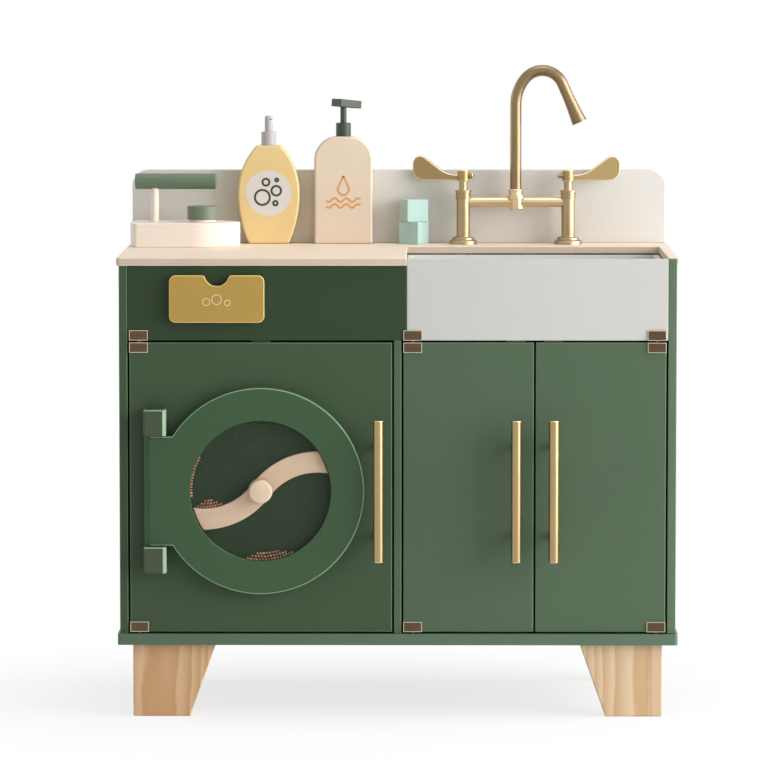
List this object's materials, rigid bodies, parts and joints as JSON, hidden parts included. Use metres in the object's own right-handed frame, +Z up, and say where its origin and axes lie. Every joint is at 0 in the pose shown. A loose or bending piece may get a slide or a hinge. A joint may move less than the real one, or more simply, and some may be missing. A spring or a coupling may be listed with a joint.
{
  "type": "toy washing machine and sink unit",
  "caption": "Wooden toy laundry centre: washing machine with a hinged round paddle door and soap drawer, sink with a swivel tap over a two-door cupboard, and play accessories on top.",
  "frame": {"origin": "centre of the bounding box at floor level", "axes": "+Z up, -Y out of the front with the doors, +X to the viewer's right"},
  "size_m": [0.6, 0.326, 0.6934],
  "materials": {
    "green_paint": "matte painted board",
    "base_green": "matte painted board",
    "pale_paint": "matte painted board",
    "cream_wood": "smooth pale wood, clear matte coat",
    "pine": "planed pine",
    "mustard_paint": "matte painted board",
    "handle_gold": "satin gold anodised",
    "tap_gold": "satin gold paint",
    "steel": "nickel plated",
    "window": "clear acrylic sheet",
    "beads": "satin copper brown",
    "catch_plastic": "moulded",
    "yellow_paint": "satin painted wood",
    "grey_paint": "satin painted wood",
    "beige_paint": "satin painted wood",
    "mint_paint": "satin painted wood"
  },
  "bodies": {
    "root": {"base_board": "base_green", "left_side_panel": "green_paint", "right_side_panel": "green_paint", "centre_partition": "green_paint", "back_panel": "green_paint", "worktop": "cream_wood", "backsplash": "pale_paint", "washer_fascia": "green_paint", "sink_apron": "pale_paint", "sink_walls": "pale_paint", "sink_floor": "pale_paint", "front_left_leg": "pine", "front_right_leg": "pine", "back_left_leg": "pine", "back_right_leg": "pine", "cabinet_screws": "steel", "drawer_runners": "pine", "hinge_brackets": "steel", "door_catches": "catch_plastic", "faucet_columns": "tap_gold", "faucet_bridge": "tap_gold", "faucet_nuts": "steel"},
    "washer_door": {"washer_door_panel": "green_paint", "washer_handle": "handle_gold", "washer_hinge_clips": "steel", "washer_door_screws": "steel", "porthole_hinge_blocks": "green_paint", "porthole_hinge_pins": "pine"},
    "porthole_door": {"porthole_ring": "green_paint", "window_pane": "window", "chamber_ring": "cream_wood", "chamber_back": "base_green", "chamber_screws": "steel"},
    "paddle": {"wash_paddle": "cream_wood", "paddle_shaft": "pine", "paddle_knob": "cream_wood", "wash_beads": "beads"},
    "soap_drawer": {"drawer_front": "mustard_paint", "drawer_tray": "cream_wood"},
    "left_cupboard_door": {"left_door_panel": "green_paint", "left_door_handle": "handle_gold", "left_door_hinge_clips": "steel", "left_door_screws": "steel"},
    "right_cupboard_door": {"right_door_panel": "green_paint", "right_door_handle": "handle_gold", "right_door_hinge_clips": "steel", "right_door_screws": "steel"},
    "spout": {"faucet_spout": "tap_gold"},
    "cold_lever": {"left_lever": "tap_gold"},
    "hot_lever": {"right_lever": "tap_gold"},
    "iron": {"iron_base": "cream_wood", "iron_handle": "base_green", "iron_post": "cream_wood"},
    "dial": {"iron_dial": "base_green"},
    "oval_bottle": {"bleach_bottle_body": "yellow_paint", "bleach_bottle_nozzle": "grey_paint"},
    "square_bottle": {"detergent_bottle_body": "beige_paint", "detergent_pump": "base_green"},
    "lower_cube": {"soap_cube_lower": "mint_paint"},
    "upper_cube": {"soap_cube_upper": "mint_paint"}
  },
  "joints": [
    {"name": "washer_door_hinge", "type": "hinge", "parent": "root", "child": "washer_door", "pos_m": [-0.2765, -0.1295, 0.246], "axis": [0, 0, -1], "range_deg": [0, 90]},
    {"name": "porthole_hinge", "type": "hinge", "parent": "washer_door", "child": "porthole_door", "pos_m": [-0.26325, -0.1421, 0.2455], "axis": [0, 0, -1], "range_deg": [0, 95]},
    {"name": "paddle_spin", "type": "hinge", "parent": "porthole_door", "child": "paddle", "pos_m": [-0.14625, -0.1421, 0.2455], "axis": [0, -1, 0], "continuous": true},
    {"name": "drawer_slide", "type": "slide", "parent": "root", "child": "soap_drawer", "axis": [0, -1, 0], "range_m": [0, 0.09]},
    {"name": "left_cupboard_hinge", "type": "hinge", "parent": "root", "child": "left_cupboard_door", "pos_m": [0.016, -0.1295, 0.246], "axis": [0, 0, -1], "range_deg": [0, 95]},
    {"name": "right_cupboard_hinge", "type": "hinge", "parent": "root", "child": "right_cupboard_door", "pos_m": [0.2765, -0.1295, 0.246], "axis": [0, 0, 1], "range_deg": [0, 95]},
    {"name": "spout_swivel", "type": "hinge", "parent": "root", "child": "spout", "pos_m": [0.1305, 0.13, 0.5435], "axis": [0, 0, 1], "continuous": true},
    {"name": "left_lever_turn", "type": "hinge", "parent": "root", "child": "cold_lever", "pos_m": [0.072, 0.13, 0.5685], "axis": [0, 0, 1], "range_deg": [0, 90]},
    {"name": "right_lever_turn", "type": "hinge", "parent": "root", "child": "hot_lever", "pos_m": [0.189, 0.13, 0.5685], "axis": [0, 0, 1], "range_deg": [-90, 0]},
    {"name": "iron_lift", "type": "slide", "parent": "root", "child": "iron", "axis": [0, 0, 1], "range_m": [0, 0.12]},
    {"name": "iron_dial_turn", "type": "hinge", "parent": "iron", "child": "dial", "pos_m": [-0.218, 0.098, 0.5235], "axis": [0, 0, 1], "continuous": true},
    {"name": "oval_bottle_lift", "type": "slide", "parent": "root", "child": "oval_bottle", "axis": [0, 0, 1], "range_m": [0, 0.12]},
    {"name": "square_bottle_lift", "type": "slide", "parent": "root", "child": "square_bottle", "axis": [0, 0, 1], "range_m": [0, 0.12]},
    {"name": "lower_cube_lift", "type": "slide", "parent": "root", "child": "lower_cube", "axis": [0, -0.8, 0.6], "range_m": [0, 0.06]},
    {"name": "upper_cube_lift", "type": "slide", "parent": "lower_cube", "child": "upper_cube", "axis": [0, -0.8, 0.6], "range_m": [0, 0.06]}
  ]
}
